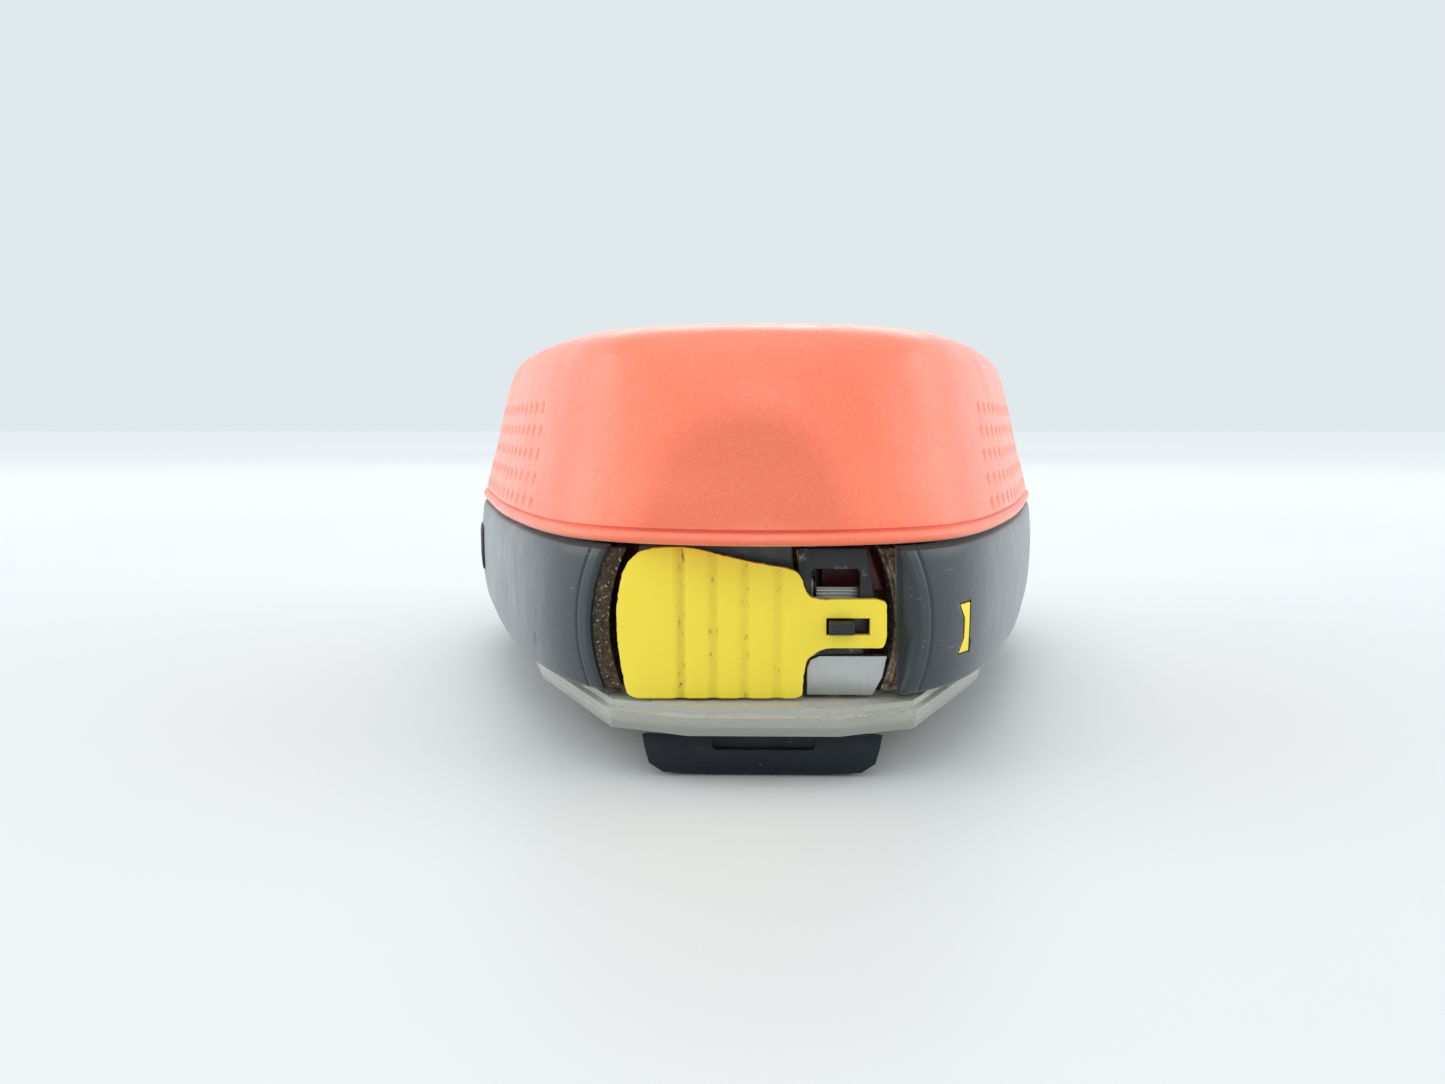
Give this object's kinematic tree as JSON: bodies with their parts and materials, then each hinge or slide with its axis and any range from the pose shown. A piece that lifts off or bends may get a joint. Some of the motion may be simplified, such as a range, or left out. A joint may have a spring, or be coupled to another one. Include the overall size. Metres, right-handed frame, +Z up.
{
  "type": "tape measure",
  "caption": "Hand tape measure in a domed case with a rubber waist band, clear lower cover, sprung reel, end hook with a sliding thumb tab, brake button and flexing belt clip.",
  "frame": {"origin": "under the middle of the case, on the surface that it lies on", "axes": "+Z up from the belt clip to the domed cover, -Y out of the mouth, +X towards the side that is the bottom in use"},
  "size_m": [0.1106, 0.1289, 0.0572],
  "materials": {
    "orange": "satin moulded plastic, slightly faded",
    "dark_red": "the same orange plastic in deep shade",
    "rubber": "soft moulded rubber, scuffed",
    "grey": "satin moulded plastic",
    "clear": "clear moulded plastic, dusty",
    "black": "satin moulded plastic",
    "yellow": "satin moulded plastic",
    "steel": "brushed",
    "dark_steel": "blackened",
    "felt": "dusty felt",
    "blade_paint": "lacquered",
    "white": "smooth moulded plastic"
  },
  "bodies": {
    "case": {"top_cover": "orange", "rubber_band": "rubber", "index_mark": "yellow", "inner_frame": "grey", "clear_cover": "clear", "base_plate": "white", "case_screw_1": "steel", "case_screw_2": "steel", "case_screw_3": "steel", "case_screw_4": "steel", "mouth_pad_left": "felt", "mouth_pad_right": "felt", "mouth_plate": "dark_red", "nose_plate": "grey", "mouth_liner": "dark_red", "hook_bumper": "rubber", "guide_post_left": "steel", "guide_post_right": "steel", "spring_plate": "grey", "reel_post": "steel", "clip_base": "black", "clip_screw": "steel"},
    "reel": {"reel_hub": "white", "blade_coil": "blade_paint", "reel_flange": "white", "spring_barrel": "grey", "power_spring": "steel", "barrel_cap": "white"},
    "blade_end": {"blade": "blade_paint", "hook_rivet_1": "steel", "hook_rivet_2": "steel"},
    "hook": {"end_hook": "steel", "hook_carrier": "dark_steel"},
    "tab": {"thumb_tab": "yellow"},
    "brake": {"brake_button": "black", "brake_pad": "rubber"},
    "clip": {"belt_clip": "black"}
  },
  "joints": [
    {"name": "reel_turn", "type": "hinge", "parent": "case", "child": "reel", "pos_m": [-0.016, 0.012, 0.02], "axis": [0, 0, -1], "range_deg": [0, 144]},
    {"name": "blade_pull", "type": "slide", "parent": "case", "child": "blade_end", "axis": [0, -1, 0], "range_m": [0, 0.053]},
    {"name": "hook_float", "type": "slide", "parent": "blade_end", "child": "hook", "axis": [0, -1, 0], "range_m": [0, 0.0009]},
    {"name": "tab_slide", "type": "slide", "parent": "hook", "child": "tab", "axis": [-1, 0, 0], "range_m": [0, 0.0017]},
    {"name": "brake_press", "type": "slide", "parent": "case", "child": "brake", "axis": [1, 0, 0], "range_m": [0, 0.0009], "stiffness_N_per_m": 2500, "springref_m": -0.0004},
    {"name": "clip_flex", "type": "hinge", "parent": "case", "child": "clip", "pos_m": [0, 0.02, 0.0014], "axis": [1, 0, 0], "range_deg": [0, 4], "stiffness_Nm_per_rad": 7}
  ],
  "couplings": [
    {"joint": "blade_pull", "follows": "reel_turn", "m_per_rad": 0.021}
  ]
}
